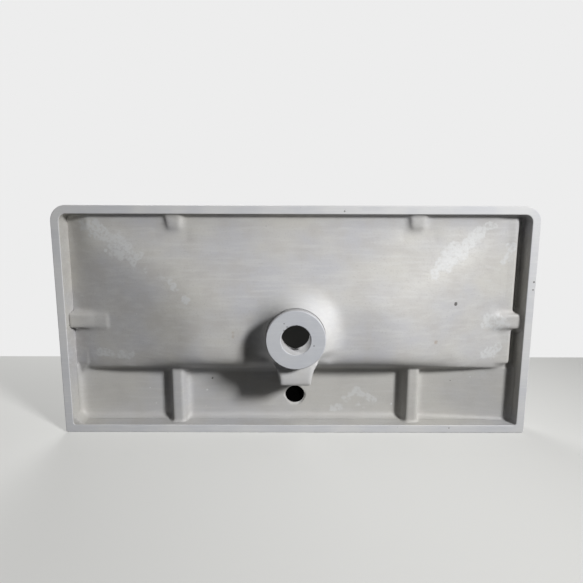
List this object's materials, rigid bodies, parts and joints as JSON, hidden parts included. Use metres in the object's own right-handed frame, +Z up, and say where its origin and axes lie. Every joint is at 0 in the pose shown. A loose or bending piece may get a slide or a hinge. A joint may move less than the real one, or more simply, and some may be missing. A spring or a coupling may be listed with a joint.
{
  "type": "vanity basin",
  "caption": "Slim rectangular ceramic vanity basin for a cabinet: hipped bowl with waste boss and overflow duct, tap deck with one tap hole, skirt with a ground seat and stiffening ribs below.",
  "frame": {"origin": "middle of the back edge, on the plane where the skirt sits on the cabinet", "axes": "+X along the basin to the right seen from the front, +Y back to the wall, +Z up"},
  "size_m": [0.8, 0.39, 0.12],
  "materials": {
    "white_glaze": "gloss white glaze on vitreous china",
    "wash_glaze": "thin satin wash on bare vitreous china"
  },
  "bodies": {
    "root": {"skirt_frame": "white_glaze", "bowl_pan": "white_glaze", "tap_deck": "white_glaze", "waste_boss": "wash_glaze", "overflow_duct": "wash_glaze", "deck_rib_left": "wash_glaze", "deck_rib_right": "wash_glaze", "front_web_left": "wash_glaze", "front_web_right": "wash_glaze", "side_web_left": "wash_glaze", "side_web_right": "wash_glaze"}
  },
  "joints": []
}
